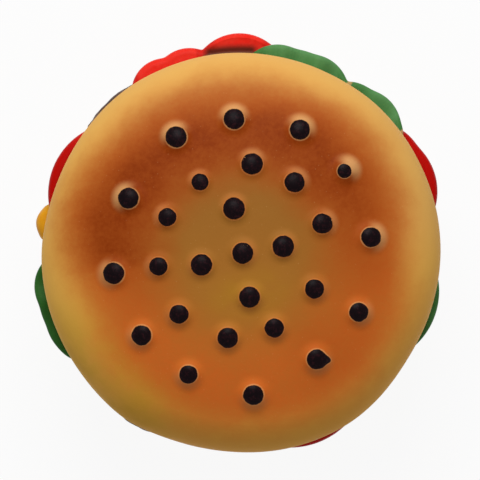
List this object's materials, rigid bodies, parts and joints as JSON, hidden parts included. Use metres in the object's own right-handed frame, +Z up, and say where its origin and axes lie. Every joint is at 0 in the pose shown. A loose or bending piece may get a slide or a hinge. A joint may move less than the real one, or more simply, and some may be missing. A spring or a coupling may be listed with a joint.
{
  "type": "novelty shaped telephone",
  "caption": "Clamshell telephone shaped like a hamburger: a seeded bun lid with the earpiece hinges up from a patty base that holds the keypad, microphone and hook switch.",
  "frame": {"origin": "middle of the rest plane under the rubber foot ring", "axes": "+Z up, -Y the front edge that opens, +Y the hinge, +X to the right seen from above"},
  "size_m": [0.1327, 0.1367, 0.0876],
  "materials": {
    "bun_vinyl": "satin painted vinyl, airbrushed",
    "lettuce_vinyl": "satin painted vinyl",
    "tomato_vinyl": "glossy painted vinyl",
    "patty_plastic": "textured moulded plastic",
    "cheese_vinyl": "satin moulded plastic",
    "ear_plastic": "satin moulded plastic",
    "key_plastic": "satin moulded plastic",
    "black_plastic": "moulded plastic",
    "rubber": "soft rubber",
    "steel": "bright zinc plated",
    "brass": "bright",
    "board": "fibreglass board",
    "paper": "pressed paper",
    "ferrite": "sintered",
    "aluminium": "sleeved can"
  },
  "bodies": {
    "base": {"patty_deck": "patty_plastic", "cheese_slice": "cheese_vinyl", "lower_bun_shell": "bun_vinyl", "foot_ring": "rubber", "base_screws": "steel", "circuit_board": "board", "board_screws": "steel", "key_membrane": "rubber", "dialling_chip": "black_plastic", "line_capacitors": "aluminium", "line_transformer": "ferrite", "microphone_boot": "rubber", "microphone_capsule": "aluminium", "hook_switch_body": "black_plastic", "hook_spring": "steel", "ringer_case": "black_plastic", "ringer_disc": "brass", "modular_jack": "black_plastic", "jack_contacts": "brass", "ringer_switch_body": "black_plastic", "tone_switch_body": "black_plastic", "hinge_pin": "steel"},
    "lid": {"upper_bun_shell": "bun_vinyl", "lettuce_layer": "lettuce_vinyl", "tomato_layer": "tomato_vinyl", "ear_plate": "ear_plastic", "ear_plate_screws": "steel", "speaker_gasket": "rubber", "speaker_basket": "steel", "speaker_cone": "paper", "speaker_magnet": "ferrite", "speaker_clamp": "black_plastic", "speaker_screws": "steel", "lid_hinge_bracket": "ear_plastic", "bracket_screws": "steel"},
    "hook": {"hook_plunger": "black_plastic"},
    "ringer_knob": {"ringer_switch_knob": "black_plastic"},
    "tone_knob": {"tone_switch_knob": "black_plastic"},
    "key_1_body": {"key_1": "key_plastic"},
    "key_2_body": {"key_2": "key_plastic"},
    "key_3_body": {"key_3": "key_plastic"},
    "key_4_body": {"key_4": "key_plastic"},
    "key_5_body": {"key_5": "key_plastic"},
    "key_6_body": {"key_6": "key_plastic"},
    "key_7_body": {"key_7": "key_plastic"},
    "key_8_body": {"key_8": "key_plastic"},
    "key_9_body": {"key_9": "key_plastic"},
    "key_star_body": {"key_star": "key_plastic"},
    "key_0_body": {"key_0": "key_plastic"},
    "key_hash_body": {"key_hash": "key_plastic"},
    "redial_key_body": {"redial_key": "key_plastic"},
    "flash_key_body": {"flash_key": "key_plastic"}
  },
  "joints": [
    {"name": "lid_hinge", "type": "hinge", "parent": "base", "child": "lid", "pos_m": [0, 0.065, 0.0325], "axis": [-1, 0, 0], "range_deg": [0, 130]},
    {"name": "hook_rise", "type": "slide", "parent": "base", "child": "hook", "axis": [0, 0, 1], "range_m": [0, 0.003], "deforming": ["hook_spring"]},
    {"name": "ringer_switch_slide", "type": "slide", "parent": "base", "child": "ringer_knob", "axis": [1, 0, 0], "range_m": [0, 0.004]},
    {"name": "tone_switch_slide", "type": "slide", "parent": "base", "child": "tone_knob", "axis": [1, 0, 0], "range_m": [0, 0.004]},
    {"name": "key_1_press", "type": "slide", "parent": "base", "child": "key_1_body", "axis": [0, 0, 1], "range_m": [-0.0015, 0], "stiffness_N_per_m": 350, "deforming": ["key_membrane"]},
    {"name": "key_2_press", "type": "slide", "parent": "base", "child": "key_2_body", "axis": [0, 0, 1], "range_m": [-0.0015, 0], "stiffness_N_per_m": 350, "deforming": ["key_membrane"]},
    {"name": "key_3_press", "type": "slide", "parent": "base", "child": "key_3_body", "axis": [0, 0, 1], "range_m": [-0.0015, 0], "stiffness_N_per_m": 350, "deforming": ["key_membrane"]},
    {"name": "key_4_press", "type": "slide", "parent": "base", "child": "key_4_body", "axis": [0, 0, 1], "range_m": [-0.0015, 0], "stiffness_N_per_m": 350, "deforming": ["key_membrane"]},
    {"name": "key_5_press", "type": "slide", "parent": "base", "child": "key_5_body", "axis": [0, 0, 1], "range_m": [-0.0015, 0], "stiffness_N_per_m": 350, "deforming": ["key_membrane"]},
    {"name": "key_6_press", "type": "slide", "parent": "base", "child": "key_6_body", "axis": [0, 0, 1], "range_m": [-0.0015, 0], "stiffness_N_per_m": 350, "deforming": ["key_membrane"]},
    {"name": "key_7_press", "type": "slide", "parent": "base", "child": "key_7_body", "axis": [0, 0, 1], "range_m": [-0.0015, 0], "stiffness_N_per_m": 350, "deforming": ["key_membrane"]},
    {"name": "key_8_press", "type": "slide", "parent": "base", "child": "key_8_body", "axis": [0, 0, 1], "range_m": [-0.0015, 0], "stiffness_N_per_m": 350, "deforming": ["key_membrane"]},
    {"name": "key_9_press", "type": "slide", "parent": "base", "child": "key_9_body", "axis": [0, 0, 1], "range_m": [-0.0015, 0], "stiffness_N_per_m": 350, "deforming": ["key_membrane"]},
    {"name": "key_star_press", "type": "slide", "parent": "base", "child": "key_star_body", "axis": [0, 0, 1], "range_m": [-0.0015, 0], "stiffness_N_per_m": 350, "deforming": ["key_membrane"]},
    {"name": "key_0_press", "type": "slide", "parent": "base", "child": "key_0_body", "axis": [0, 0, 1], "range_m": [-0.0015, 0], "stiffness_N_per_m": 350, "deforming": ["key_membrane"]},
    {"name": "key_hash_press", "type": "slide", "parent": "base", "child": "key_hash_body", "axis": [0, 0, 1], "range_m": [-0.0015, 0], "stiffness_N_per_m": 350, "deforming": ["key_membrane"]},
    {"name": "redial_key_press", "type": "slide", "parent": "base", "child": "redial_key_body", "axis": [0, 0, 1], "range_m": [-0.0015, 0], "stiffness_N_per_m": 350, "deforming": ["key_membrane"]},
    {"name": "flash_key_press", "type": "slide", "parent": "base", "child": "flash_key_body", "axis": [0, 0, 1], "range_m": [-0.0015, 0], "stiffness_N_per_m": 350, "deforming": ["key_membrane"]}
  ],
  "couplings": [
    {"joint": "hook_rise", "follows": "lid_hinge", "m_per_rad": 0.00132}
  ]
}
